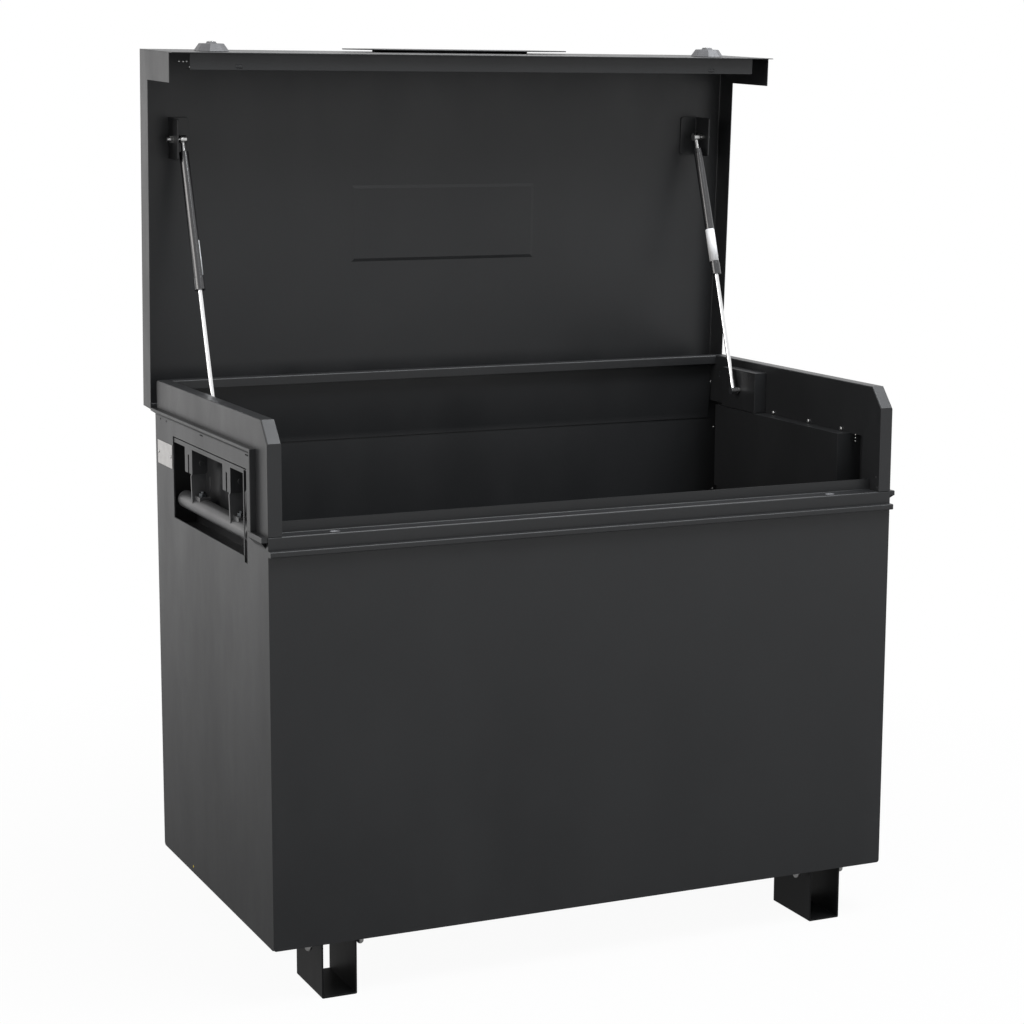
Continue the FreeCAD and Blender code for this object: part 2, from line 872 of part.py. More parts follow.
def pocket_screws():
    """Button head screws along the foot of each collar's inner face."""
    wall = half_width - collar_thick
    face = wall - screw_head_high
    solids = []
    for y in screw_middles:
        head = rod(V(face, y, screw_height), AXIS_X, screw_head_radius, screw_head_high)
        head = rounded(head, screw_head_high / 2,
                       lambda edge: abs(edge.CenterOfMass.x - face) < 0.01)
        solids.append(head)
        solids.append(mirrored(head))
    return Part.Compound(solids)


def emboss(level):
    """A shallow sunk rectangle with sloping sides, under a level."""
    wires = []
    for inset, z in ((0, level), (emboss_slope, level - emboss_deep)):
        x = emboss_half - inset
        front = emboss_front + inset
        rear = emboss_rear - inset
        wires.append(Part.makePolygon([V(-x, front, z), V(x, front, z), V(x, rear, z), V(-x, rear, z),
                                       V(-x, front, z)]))
    return Part.makeLoft(wires, True, True)


def lid_top_panel():
    """The lid's top, a shallow pan with a bare rectangle pressed down in its middle."""
    pan = box(-lid_half, lid_half, lid_front, lid_rear, lid_top - lid_edge, lid_top)
    pan = rounded(pan, fold_outside, lambda edge: abs(edge.CenterOfMass.z - lid_top) < 0.01)
    hollow = box(-lid_half + sheet, lid_half - sheet, lid_front + sheet, lid_rear - sheet,
                 lid_top - lid_edge - 1, lid_top - sheet)
    hollow = rounded(hollow, fold_inside, lambda edge: abs(edge.CenterOfMass.z - lid_top + sheet) < 0.01)
    return join([pan.cut(hollow), emboss(lid_top - sheet)]).cut(emboss(lid_top))


def lid_front_skirt():
    """The lid's deep front face, drilled for the knobs' spindles."""
    shape = box(-lid_half, lid_half, lid_front, lid_front + sheet, front_skirt_bottom,
                lid_top - lid_edge)
    holes = [rod(V(side * knob_offset, lid_front - 1, knob_height), AXIS_Y,
                 spindle_radius + spindle_clear, sheet + 2) for side in (-1, 1)]
    return cut(shape, holes)


def lid_rear_skirt():
    """The lid's shallow rear face, which carries the hinge."""
    return box(-lid_half, lid_half, lid_rear - sheet, lid_rear, skirt_bottom, lid_top - lid_edge)


def lid_right_skirt():
    """The lid's shallow side, with a deep tab at its front corner."""
    front = lid_front + sheet
    outline = [
        (front, lid_top - lid_edge), (lid_rear - sheet, lid_top - lid_edge),
        (lid_rear - sheet, skirt_bottom), (lid_front + tab_length, skirt_bottom),
        (lid_front + tab_length, tab_bottom), (front, tab_bottom),
    ]
    return along_x(outline, lid_half - sheet, lid_half)


def lid_lock_rail():
    """The channel inside the front skirt's foot, with a guide for each lock bolt."""
    front = lid_front + sheet
    top = rail_bottom + rail_high
    outline = [
        (front, rail_bottom), (rail_rear, rail_bottom), (rail_rear, top),
        (rail_rear - sheet, top), (rail_rear - sheet, rail_bottom + sheet),
        (front + sheet, rail_bottom + sheet), (front + sheet, top), (front, top),
    ]
    solids = [along_x(outline, -rail_half, rail_half)]
    holes = []
    for side in (-1, 1):
        x = side * bolt_offset
        solids.append(box(x - guide_half, x + guide_half, rail_rear - sheet, rail_rear,
                          top - sheet, guide_top))
        solids.append(box(x - guide_half, x + guide_half, front, rail_rear, guide_top - sheet, guide_top))
        holes.append(box(x - bolt_wide / 2 - bolt_clear, x + bolt_wide / 2 + bolt_clear,
                         bolt_y - bolt_thick / 2 - bolt_clear, bolt_y + bolt_thick / 2 + bolt_clear,
                         rail_bottom - 1, guide_top + 1))
    return cut(join(solids), holes)


def right_lock_bolt():
    """A flat bolt with a windowed yoke that the cam's pin works in."""
    shank = box(bolt_offset - bolt_wide / 2, bolt_offset + bolt_wide / 2,
                bolt_y - bolt_thick / 2, bolt_y + bolt_thick / 2, bolt_bottom, bolt_top)
    shank = rounded(shank, bolt_end_round, lambda edge: abs(edge.CenterOfMass.z - bolt_bottom) < 0.01
                    and edge.Length > bolt_wide - 1)
    yoke_front = bolt_y - bolt_thick / 2 - yoke_thick
    yoke_rear = yoke_front + yoke_thick
    yoke = box(bolt_offset - bolt_wide / 2, knob_offset + yoke_past_knob, yoke_front,
               yoke_rear + yoke_overlap, knob_height - yoke_below, knob_height + yoke_above)
    window = box(bolt_offset + 1, knob_offset + window_past_knob, yoke_front - 1,
                 yoke_rear + window_relief, knob_height - window_below, knob_height + window_above)
    through = box(bolt_offset + bolt_wide / 2, knob_offset + window_past_knob, yoke_front - 1,
                  yoke_rear + 1, knob_height - window_below, knob_height + window_above)
    return cut(join([shank, yoke]), [window, through])


def right_lock_cam():
    """The knob's spindle, with a lever and a pin inside the skirt."""
    inside = lid_front + sheet
    spindle = rod(V(knob_offset, lid_front - spindle_proud, knob_height), AXIS_Y, spindle_radius,
                  inside + spindle_inside - (lid_front - spindle_proud))
    lever_y = inside + lever_inside
    pin_x = knob_offset - cam_radius
    lever = join([
        rod(V(knob_offset, lever_y, knob_height), AXIS_Y, lever_hub, lever_thick),
        box(pin_x, knob_offset, lever_y, lever_y + lever_thick,
            knob_height - lever_end, knob_height + lever_end),
        rod(V(pin_x, lever_y, knob_height), AXIS_Y, lever_end, lever_thick),
    ])
    pin = rod(V(pin_x, lever_y, knob_height), AXIS_Y, cam_pin_radius, cam_pin_long)
    return join([spindle, lever, pin])


def right_lock_knob():
    """An eight-sided tapering knob with a grip bar across it."""
    back = lid_front - knob_gap

    def octagon(flats, y):
        corner = flats / 2 / math.cos(math.radians(22.5))
        points = []
        for i in range(9):
            angle = math.radians(22.5 + 45 * i)
            points.append(V(knob_offset + corner * math.cos(angle), y,
                            knob_height + corner * math.sin(angle)))
        return Part.makePolygon(points)

    body = Part.makeLoft([octagon(knob_base, back), octagon(knob_top, back - knob_high)], True, True)
    bar = along_z([
        (knob_offset - grip_bar_base / 2, back), (knob_offset + grip_bar_base / 2, back),
        (knob_offset + grip_bar_top / 2, back - grip_bar_high),
        (knob_offset - grip_bar_top / 2, back - grip_bar_high),
    ], knob_height - knob_base / 2, knob_height + knob_base / 2)
    for side in (-1, 1):
        end = knob_height + side * knob_base / 2
        trim = along_x([
            (back, end), (back - grip_bar_high, end - side * grip_bar_lean),
            (back - grip_bar_high - 1, end - side * grip_bar_lean),
            (back - grip_bar_high - 1, end + side), (back, end + side),
        ], knob_offset - grip_bar_base, knob_offset + grip_bar_base)
        bar = bar.cut(trim)
    socket = rod(V(knob_offset, lid_front - spindle_proud - spindle_clear, knob_height), AXIS_Y,
                 spindle_radius, spindle_proud + 1)
    return join([body, bar]).cut(socket)


def lid_pull_handle():
    """A long flat pull with tapered open tips, held off the skirt by a web and two sloping ears."""
    low = pull_middle - pull_tall / 2
    high = pull_middle + pull_tall / 2
    outer = lid_front - pull_proud
    straight = pull_half - pull_taper
    grip = along_y([
        (-pull_half, pull_middle - pull_tip), (-straight, low),
        (straight, low), (pull_half, pull_middle - pull_tip),
        (pull_half, pull_middle + pull_tip), (straight, high),
        (-straight, high), (-pull_half, pull_middle + pull_tip),
    ], outer, outer + pull_sheet)
    web = box(-straight, straight, outer + pull_sheet, lid_front, high - pull_sheet, high)
    ears = []
    for side in (-1, 1):
        middle = side * ear_offset
        ears.append(along_x([
            (outer + pull_sheet, high - ear_deep), (outer + pull_sheet, high - pull_sheet),
            (lid_front, high - pull_sheet), (lid_front, high - ear_deep - ear_slope),
        ], middle - ear_width / 2, middle + ear_width / 2))
    return join([grip, web] + ears)


def right_upper_bracket():
    """The angle on the lid that holds the strut's upper end."""
    under = lid_top - sheet
    outline = [
        (upper_leg_x + bracket_sheet, under), (upper_leg_x + bracket_sheet, under - upper_leg_deep),
        (upper_leg_x, under - upper_leg_deep), (upper_leg_x, under - bracket_sheet),
        (upper_leg_x - upper_flat_wide, under - bracket_sheet), (upper_leg_x - upper_flat_wide, under),
    ]
    shape = along_y(outline, upper_bracket_front, upper_bracket_rear)

    def outer_corner(edge):
        point = edge.CenterOfMass
        at_end = min(abs(point.y - upper_bracket_front), abs(point.y - upper_bracket_rear)) < 0.01
        thin = abs(edge.Length - bracket_sheet) < 0.01
        low = point.z < under - upper_leg_deep + 0.01
        far = point.x < upper_leg_x - upper_flat_wide + 0.01
        return at_end and thin and (low or far)

    shape = rounded(shape, upper_corner, outer_corner)
    hole = rod(V(upper_leg_x - 1, upper_ball_y, upper_ball_z), AXIS_X,
               bolt_radius + running_fit, bracket_sheet + 2)
    return shape.cut(hole)


def upper_studs():
    """The ball studs at the struts' upper ends, with their nuts."""
    solids = []
    for side in (-1, 1):
        ball = Part.makeSphere(ball_radius, V(side * strut_x, upper_ball_y, upper_ball_z))
        shank = stud(side, strut_x, upper_leg_x, upper_ball_y, upper_ball_z,
                     upper_leg_x + upper_stud_long)
        solids.append(join([shank, ball]))
        solids.append(nut(V(side * (upper_leg_x + bracket_sheet), upper_ball_y, upper_ball_z),
                          V(side, 0, 0)))
    return Part.Compound(solids)


def opened(shape):
    """A lid piece swung to where the lid stands open."""
    swung = shape.copy()
    swung.rotate(V(0, hinge_y, hinge_z), AXIS_X, -open_angle)
    return swung


def open_point(y, z):
    """Where a point of the closed lid stands when the lid is open."""
    angle = math.radians(open_angle)
    dy = y - hinge_y
    dz = z - hinge_z
    return (hinge_y + dy * math.cos(angle) + dz * math.sin(angle),
            hinge_z - dy * math.sin(angle) + dz * math.cos(angle))


def strut_line(side):
    """An open strut's upper ball, its direction down to the lower ball, and its length."""
    y, z = open_point(upper_ball_y, upper_ball_z)
    top = V(side * strut_x, y, z)
    bottom = V(side * strut_x, lower_ball_y, lower_ball_z)
    line = bottom - top
    length = line.Length
    return top, line.normalize(), length


def strut_tube(side):
    """A strut's pressure tube with its gland, tapped for its upper socket."""
    top, way, _ = strut_line(side)
    body = rod(top + way * tube_start, way, tube_radius, tube_end - tube_start)
    gland = rod(top + way * (tube_end - gland_length), way, gland_radius, gland_length)
    chamber = rod(top + way * (tube_start + tube_end_wall), way, tube_radius - tube_wall,
                  tube_end - gland_length - tube_start - tube_end_wall)
    tapping = rod(top + way * (tube_start - 1), way, shank_radius + running_fit, shank_in_tube + 1.5)
    bore = rod(top + way * tube_start * 2, way, rod_radius + running_fit, tube_end)
    return cut(join([body, gland]), [chamber, tapping, bore])


def strut_socket(side):
    """A strut's upper socket, with the shank that screws into the tube."""
    top, way, _ = strut_line(side)
    out = V(side, 0, 0)
    shank_start = ball_radius - 1
    shank = rod(top + way * shank_start, way, shank_radius, tube_start + shank_in_tube - shank_start)
    socket = rod(top - out * (socket_radius - 1), out, socket_radius,
                 2 * socket_radius - 1 - socket_open_side)
    cavity = Part.makeSphere(ball_radius + socket_clear, top)
    mouth = rod(top, out, ball_radius - mouth_lip, 2 * socket_radius)
    return cut(join([shank, socket]), [cavity, mouth])


def strut_rod(side):
    """A strut's rod with its piston and its lower socket."""
    top, way, length = strut_line(side)
    bottom = top + way * length
    out = V(side, 0, 0)
    shaft = rod(top + way * rod_start, way, rod_radius, length - rod_start - ball_radius)
    piston = rod(top + way * rod_start, way, tube_radius - tube_wall - piston_clear, piston_long)
    fitting = rod(bottom - way * rod_end_fitting, way, fitting_radius, rod_end_fitting - rod_radius)
    socket = rod(bottom - out * (socket_radius - 1), out, socket_radius, 2 * socket_radius - 1)
    return join([shaft, piston, fitting, socket])


def pair(pieces, name, shape):
    """Adds a right-hand piece and its mirror image on the left."""
    pieces["right_" + name] = shape
    pieces["left_" + name] = mirrored(shape)


def body_pieces():
    """Every piece of the box that stays still."""
    pieces = {}
    pieces["front_panel"] = end_panel(0, lip_bottom)
    pieces["back_panel"] = end_panel(body_depth - sheet, hinge_z - knuckle_room)
    pieces["floor_panel"] = floor_panel()
    pair(pieces, "side_panel", right_side_panel())
    pair(pieces, "side_hem", right_side_hem())
    pair(pieces, "collar", right_collar())
    pieces["front_ledge"] = front_ledge()
    pieces["rear_rim"] = rear_rim()
    pair(pieces, "handle_pocket", right_pocket())
    pair(pieces, "pocket_frame", right_pocket_frame())
    pieces["handle_pivot_pins"] = handle_pivot_pins()
    pair(pieces, "lower_strut_bracket", right_lower_bracket())
    pieces["lower_strut_studs"] = lower_studs()
    pieces["body_hinge_leaf"] = hinge_leaf(0, body_depth - sheet - leaf_sheet, -1)
    pieces["hinge_pin"] = hinge_pin()
    for name, middle, y0 in foot_places():
        pieces[name] = foot(middle, y0)
    pieces["foot_bolts"] = foot_bolts()
    pieces["foot_washers"] = foot_washers()
    pieces["foot_nuts"] = foot_nuts()
    pieces["rating_plate"] = rating_plate()
    pieces["plate_rivets"] = plate_rivets()
    pieces["pocket_screws"] = pocket_screws()
    pair(pieces, "handle_tube", right_grip_tube())
    pair(pieces, "handle_straps", right_handle_straps())
    pair(pieces, "handle_bolts", right_handle_bolts())
    return pieces


def lid_pieces():
    """Every piece that swings with the lid, drawn closed."""
    pieces = {}
    pieces["lid_top_panel"] = lid_top_panel()
    pieces["lid_front_skirt"] = lid_front_skirt()
    pieces["lid_rear_skirt"] = lid_rear_skirt()
    right_skirt = lid_right_skirt()
    pieces["lid_right_skirt"] = right_skirt
    pieces["lid_left_skirt"] = mirrored(right_skirt)
    pieces["lid_lock_rail"] = lid_lock_rail()
    pieces["lid_pull_handle"] = lid_pull_handle()
    pieces["lid_hinge_leaf"] = hinge_leaf(1, lid_rear - sheet - leaf_sheet, 1)
    pair(pieces, "upper_strut_bracket", right_upper_bracket())
    pieces["upper_strut_studs"] = upper_studs()
    pair(pieces, "lock_knob", right_lock_knob())
    pair(pieces, "lock_cam", right_lock_cam())
    pair(pieces, "lock_bolt", right_lock_bolt())
    return pieces


def main():
    os.makedirs("parts", exist_ok=True)
    pieces = body_pieces()
    for name, shape in lid_pieces().items():
        pieces[name] = opened(shape)
    for name, side in (("right", 1), ("left", -1)):
        pieces[name + "_strut_tube"] = strut_tube(side)
        pieces[name + "_strut_socket"] = strut_socket(side)
        pieces[name + "_strut_rod"] = strut_rod(side)

    # The open box reaches from the lip at the front to the lid's rear corner.
    rear_reach = open_point(lid_rear, lid_top)[0]
    shift = V(0, -(rear_reach - lip_proud) / 2, 0)
    print("front panel at y", shift.y, "hinge at", hinge_y + shift.y, hinge_z)
    for name, shape in pieces.items():
        placed = shape.copy()
        placed.translate(shift)
        placed.exportStep(os.path.join("parts", name + ".step"))
    print(len(pieces), "pieces")


main()
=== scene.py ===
import json
import math

import bmesh
import bpy
from mathutils import Matrix, Vector


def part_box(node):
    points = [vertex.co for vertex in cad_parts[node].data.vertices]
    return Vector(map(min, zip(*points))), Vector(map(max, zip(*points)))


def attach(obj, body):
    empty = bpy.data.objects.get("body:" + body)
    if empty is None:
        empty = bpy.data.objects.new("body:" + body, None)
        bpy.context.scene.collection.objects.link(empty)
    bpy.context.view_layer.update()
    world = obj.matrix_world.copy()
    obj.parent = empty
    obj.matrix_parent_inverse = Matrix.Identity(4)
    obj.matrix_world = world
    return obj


# Looks for the jobsite box. Metres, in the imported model's frame: X to the right,
# -Y to the front, Z up, with the floor at Z = 0 and the lid standing open.

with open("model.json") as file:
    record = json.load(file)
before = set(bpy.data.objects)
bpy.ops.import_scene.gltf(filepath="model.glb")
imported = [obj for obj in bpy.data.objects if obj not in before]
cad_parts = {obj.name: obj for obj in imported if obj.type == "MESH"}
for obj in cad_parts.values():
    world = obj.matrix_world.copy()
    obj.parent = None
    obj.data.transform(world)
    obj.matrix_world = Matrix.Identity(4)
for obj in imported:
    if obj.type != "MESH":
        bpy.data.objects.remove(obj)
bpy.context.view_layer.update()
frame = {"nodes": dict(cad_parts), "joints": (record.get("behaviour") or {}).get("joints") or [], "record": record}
nodes = frame["nodes"]
joints = {joint["name"]: joint for joint in frame["joints"]}

# Camera, solved from the box's straight edges in the photograph: metres, degrees and millimetres
camera_place = Vector((-1.8363, -4.0295, 1.5229))
camera_azimuth = -24.43
camera_tilt = 9.83
camera_roll = 0.20
camera_lens = 84.32
camera_sensor = 36.0
camera_near = 0.05
camera_far = 60

# Edges: bevel widths in metres, and the least angles that are bevelled, in degrees
edge_width = 0.0007
flush_edge_width = 0.0002
edge_angle = 35
pressed_edge_angle = 8
flat_angle = 0.5
weld_distance = 0.00002

# Small pieces, in millimetres: X from the middle, Y back from the front panel's face and Z up
# from the floor, all with the lid shut
collar_inner_x = 577.0
side_face_x = 602.0
back_panel_y = 648.5
lid_front_y = -12.0
lid_inner_z = 1001.5
knob_x = 509.7
knob_z = 884.6
knob_gap = 0.3
grip_bar_high = 17.0
bolt_slot_x = 480.6
bolt_slot_y = 13.0
bolt_slot_straight = 3.0
pocket_back_x = 551.6
pocket_rib_y = 475.6
pocket_weld_y = 84.0
lip_under_y = -0.2
lip_under_z = 775.4
lip_weld_half = 13
label_inner_radius = 9.02
label_outer_radius = 9.14
label_start = 194.0
label_end = 260.0

# The lid stands open about the hinge, and is described here as if it were shut.
hinge = Vector(joints["lid_hinge"]["pos_m"])
open_turn = Matrix.Rotation(-math.radians(joints["lid_hinge"]["range_deg"][1]), 4, "X")
lid_frame = Matrix.Translation(hinge) @ open_turn @ Matrix.Translation(-hinge)
front_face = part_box("front_panel")[0][1]


def at(x, y, z):
    """A place on the box."""
    return Vector((x / 1000, front_face + y / 1000, z / 1000))


def lid_at(x, y, z):
    """A place on the lid, swung to where the lid stands open."""
    return lid_frame @ at(x, y, z)


def make_camera():
    """A camera where the photograph was taken from."""
    azimuth = math.radians(camera_azimuth)
    tilt = math.radians(camera_tilt)
    roll = math.radians(camera_roll)
    ahead = Vector((-math.sin(azimuth) * math.cos(tilt),
                    math.cos(azimuth) * math.cos(tilt), -math.sin(tilt)))
    right = Vector((math.cos(azimuth), math.sin(azimuth), 0))
    up = right.cross(ahead)
    right_rolled = right * math.cos(roll) + up * math.sin(roll)
    up_rolled = up * math.cos(roll) - right * math.sin(roll)
    data = bpy.data.cameras.new("camera")
    data.sensor_fit = "HORIZONTAL"
    data.sensor_width = camera_sensor
    data.lens = camera_lens
    data.clip_start = camera_near
    data.clip_end = camera_far
    camera = bpy.data.objects.new("camera", data)
    bpy.context.scene.collection.objects.link(camera)
    turn = Matrix((right_rolled, up_rolled, -ahead)).transposed().to_4x4()
    camera.matrix_world = Matrix.Translation(camera_place) @ turn
    bpy.context.scene.camera = camera


# Node helpers
class Graph:
    """The nodes of a material or a world, made and joined with short calls."""

    def __init__(self, owner):
        owner.use_nodes = True
        self.tree = owner.node_tree

    def node(self, kind, **settings):
        made = self.tree.nodes.new(kind)
        for key, value in settings.items():
            setattr(made, key, value)
        return made

    def link(self, source, target):
        self.tree.links.new(source, target)

    def math(self, operation, first, second):
        made = self.node("ShaderNodeMath", operation=operation)
        for socket, value in zip(made.inputs, (first, second)):
            if isinstance(value, (int, float)):
                socket.default_value = value
            else:
                self.link(value, socket)
        return made.outputs["Value"]

    def surface(self, share, first, second, output):
        """Ends the graph with a mix of two shaders."""
        made = self.node("ShaderNodeMixShader")
        for socket, source in zip(made.inputs, (share, first, second)):
            self.link(source, socket)
        self.link(made.outputs[0], self.tree.nodes[output].inputs["Surface"])


class Finish(Graph):
    """A new material's graph, with its shader and its object coordinates."""

    def __init__(self, name):
        self.material = bpy.data.materials.new(name)
        super().__init__(self.material)
        self.shader = self.tree.nodes["Principled BSDF"]
        self.place = self.node("ShaderNodeTexCoord").outputs["Object"]

    def stretched(self, scale):
        """Object coordinates, scaled by axis."""
        mapping = self.node("ShaderNodeMapping")
        mapping.inputs["Scale"].default_value = scale
        self.link(self.place, mapping.inputs["Vector"])
        return mapping.outputs["Vector"]

    def noise(self, scale, detail=2.0, rough=0.5, place=None):
        made = self.node("ShaderNodeTexNoise")
        made.inputs["Scale"].default_value = scale
        made.inputs["Detail"].default_value = detail
        made.inputs["Roughness"].default_value = rough
        self.link(place or self.place, made.inputs["Vector"])
        return made.outputs["Fac"]

    def spread(self, value, low, high):
        """A noise value, mapped from its middle range to low..high."""
        made = self.node("ShaderNodeMapRange")
        made.inputs["From Min"].default_value = 0.3
        made.inputs["From Max"].default_value = 0.7
        made.inputs["To Min"].default_value = low
        made.inputs["To Max"].default_value = high
        self.link(value, made.inputs["Value"])
        return made.outputs["Result"]

    def mix(self, share, first, second):
        """A blend of two colours. The node's sockets 0, 6 and 7 are its share and its colours."""
        made = self.node("ShaderNodeMix", data_type="RGBA")
        self.link(share, made.inputs[0])
        for socket, value in ((made.inputs[6], first), (made.inputs[7], second)):
            if isinstance(value, tuple):
                socket.default_value = (*value, 1)
            else:
                self.link(value, socket)
        return made.outputs[2]

    def bump(self, height, strength, distance, under=None):
        made = self.node("ShaderNodeBump")
        made.inputs["Strength"].default_value = strength
        made.inputs["Distance"].default_value = distance
        self.link(height, made.inputs["Height"])
        if under is not None:
            self.link(under, made.inputs["Normal"])
        return made.outputs["Normal"]

    def done(self, colour=None, roughness=None, normal=None, **fixed):
        """Joins what varies to the shader, and sets what is the same all over."""
        for socket_name, value in (("Base Color", colour), ("Roughness", roughness), ("Normal", normal)):
            if value is not None:
                self.link(value, self.shader.inputs[socket_name])
        for socket_name, value in fixed.items():
            self.shader.inputs[socket_name.replace("_", " ")].default_value = value
        return self.material


# Materials
def powder_coat(name, dark, light, rough_low=0.32, rough_high=0.44, bow=0.0, shine=0.36):
    """Satin powder coat on sheet steel: fine orange peel, and faint dust and handling marks."""
    g = Finish(name)
    clouds = g.noise(2.3, detail=4.0, rough=0.6)
    smears = g.noise(9.0, detail=5.0, rough=0.65, place=g.stretched((1.0, 1.0, 0.35)))
    specks = g.noise(260.0, detail=1.0)
    dusty = tuple(1.20 * value + 0.002 for value in light)
    colour = g.mix(g.spread(clouds, 0.0, 1.0), dark, light)
    colour = g.mix(g.math("MULTIPLY", g.spread(smears, -0.2, 0.35), 0.35), colour, dusty)
    colour = g.mix(g.math("MULTIPLY", g.spread(specks, -0.6, 0.6), 0.3), colour, dusty)
    roughness = g.spread(smears, rough_low, rough_high)
    normal = None
    if bow:
        normal = g.bump(g.noise(1.9, detail=1.0), strength=bow, distance=0.01)
    normal = g.bump(g.noise(420.0), strength=0.10, distance=0.0006, under=normal)
    normal = g.bump(g.noise(1500.0, detail=1.0), strength=0.10, distance=0.0002, under=normal)
    return g.done(colour, roughness, normal, Specular_IOR_Level=shine)


def bare_metal(name, low, high, rough_low, rough_high, grain=(1.0, 1.0, 1.0), grain_scale=300.0):
    """Bright metal with faint grain and stains."""
    g = Finish(name)
    stains = g.noise(60.0, detail=4.0, rough=0.6)
    lines = g.noise(grain_scale, detail=3.0, rough=0.6, place=g.stretched(grain))
    colour = g.mix(g.spread(stains, 0.0, 1.0), low, high)
    roughness = g.spread(lines, rough_low, rough_high)
    normal = g.bump(lines, strength=0.08, distance=0.0003)
    return g.done(colour, roughness, normal, Metallic=1.0)


def moulded_plastic(name, low, high, rough_low, rough_high):
    """Moulded plastic with a fine spark-eroded grain."""
    g = Finish(name)
    colour = g.mix(g.spread(g.noise(40.0, detail=3.0), 0.0, 1.0), low, high)
    roughness = g.spread(g.noise(160.0), rough_low, rough_high)
    normal = g.bump(g.noise(1400.0), strength=0.25, distance=0.0003)
    return g.done(colour, roughness, normal)


anthracite_dark = (0.0190, 0.0196, 0.0206)
anthracite_light = (0.0235, 0.0242, 0.0252)
paint = powder_coat("anthracite_powder_coat", anthracite_dark, anthracite_light)
panel_paint = powder_coat("anthracite_panel_coat", anthracite_dark, anthracite_light, bow=0.10)
handle_paint = powder_coat("handle_powder_coat", (0.0580, 0.0588, 0.0605), (0.0660, 0.0668, 0.0685),
                           rough_low=0.28, rough_high=0.40)
foot_paint = powder_coat("foot_powder_coat", (0.0050, 0.0052, 0.0055), (0.0070, 0.0072, 0.0076),
                         shine=0.24)
strut_black = powder_coat("strut_gloss_black", (0.010, 0.010, 0.011), (0.014, 0.014, 0.016),
                          rough_low=0.12, rough_high=0.20, shine=0.9)
zinc = bare_metal("zinc_plate", (0.50, 0.50, 0.50), (0.62, 0.62, 0.61), 0.24, 0.40)
dull_zinc = bare_metal("dull_zinc_plate", (0.06, 0.065, 0.07), (0.11, 0.115, 0.12), 0.34, 0.50)
chrome = bare_metal("ground_chrome", (0.76, 0.76, 0.77), (0.84, 0.84, 0.85), 0.06, 0.14)
plate_metal = bare_metal("brushed_plate", (0.44, 0.43, 0.42), (0.52, 0.51, 0.50), 0.30, 0.46,
                         grain=(1.0, 0.05, 1.0), grain_scale=900.0)
knob_plastic = moulded_plastic("knob_plastic", (0.120, 0.120, 0.125), (0.145, 0.145, 0.150), 0.40, 0.52)
bumper_plastic = moulded_plastic("bumper_plastic", (0.16, 0.16, 0.17), (0.20, 0.20, 0.21), 0.40, 0.50)
label_vinyl = moulded_plastic("bare_label", (0.94, 0.94, 0.94), (0.97, 0.97, 0.97), 0.34, 0.44)
mark_yellow = moulded_plastic("yellow_mark", (0.70, 0.52, 0.03), (0.80, 0.60, 0.05), 0.45, 0.55)
# Near-black painted shade: it colours the key slots and the weld beads under the lip, where there is only shade.
painted_shade_black = moulded_plastic("painted_gap_shade", (0.004, 0.004, 0.004), (0.006, 0.006, 0.006), 0.80, 0.90)

slot_material = {
    "body_paint": paint,
    "handle_paint": handle_paint,
    "zinc_steel": zinc,
    "plate_metal": plate_metal,
    "knob_plastic": knob_plastic,
    "strut_black": strut_black,
    "rod_chrome": chrome,
}
node_slot = {entry["node"]: entry["material_slot"] for entry in frame["record"]["subparts"]}

# Wide panels bow faintly between their edges.
wide_panels = ("front_panel", "back_panel", "right_side_panel", "left_side_panel", "floor_panel",
               "lid_top_panel")

# Panels that lie flush with a neighbour keep their edges, so that no groove shows at the seam.
flush_panels = ("right_side_panel", "left_side_panel", "right_side_hem", "left_side_hem", "lid_front_skirt",
                "lid_rear_skirt", "lid_right_skirt", "lid_left_skirt", "front_ledge",
                "front_panel", "back_panel", "rear_rim")


def node_material(name):
    """A CAD piece's finish: its slot's, or a closer one where the photograph shows it."""
    if name in wide_panels:
        return panel_paint
    if name.endswith("_handle_bolts"):
        return dull_zinc
    if name.endswith("_foot"):
        return foot_paint
    return slot_material[node_slot[name]]


def soften(piece, width, least_angle=edge_angle):
    """Rounds a CAD piece's edges with modifiers, which leave its own mesh as it is."""
    weld = piece.modifiers.new("weld", "WELD")
    weld.merge_threshold = weld_distance
    flat = piece.modifiers.new("flat", "DECIMATE")
    flat.decimate_type = "DISSOLVE"
    flat.angle_limit = math.radians(flat_angle)
    bevel = piece.modifiers.new("bevel", "BEVEL")
    bevel.width = width
    bevel.segments = 2
    bevel.limit_method = "ANGLE"
    bevel.angle_limit = math.radians(least_angle)
    bevel.harden_normals = False
    normals = piece.modifiers.new("normals", "WEIGHTED_NORMAL")
    normals.keep_sharp = False
    for polygon in piece.data.polygons:
        polygon.use_smooth = True


for name, piece in nodes.items():
    piece.data.materials.clear()
    piece.data.materials.append(node_material(name))
    if name == "lid_top_panel":
        # The pressed rectangle's slopes are gentle, and their edges stay crisp.
        soften(piece, flush_edge_width, pressed_edge_angle)
    elif name in flush_panels:
        soften(piece, flush_edge_width)
    else:
        soften(piece, edge_width)


# Small pieces in mesh code
def add_piece(name, points, faces, material, body, smooth=True):
    """A mesh of points in the frame that rides on a body."""
    mesh = bpy.data.meshes.new(name)
    mesh.from_pydata([tuple(point) for point in points], [], faces)
    shell = bmesh.new()
    shell.from_mesh(mesh)
    bmesh.ops.recalc_face_normals(shell, faces=shell.faces)
    shell.to_mesh(mesh)
    shell.free()
    for polygon in mesh.polygons:
        polygon.use_smooth = smooth
    mesh.materials.append(material)
    piece = bpy.data.objects.new(name, mesh)
    bpy.context.scene.collection.objects.link(piece)
    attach(piece, body)


def ring_faces(first_ring, second_ring, count):
    """The faces between two closed rings of points."""
    faces = []
    for i in range(count):
        after = (i + 1) % count
        faces.append((first_ring * count + i, first_ring * count + after,
                      second_ring * count + after, second_ring * count + i))
    return faces


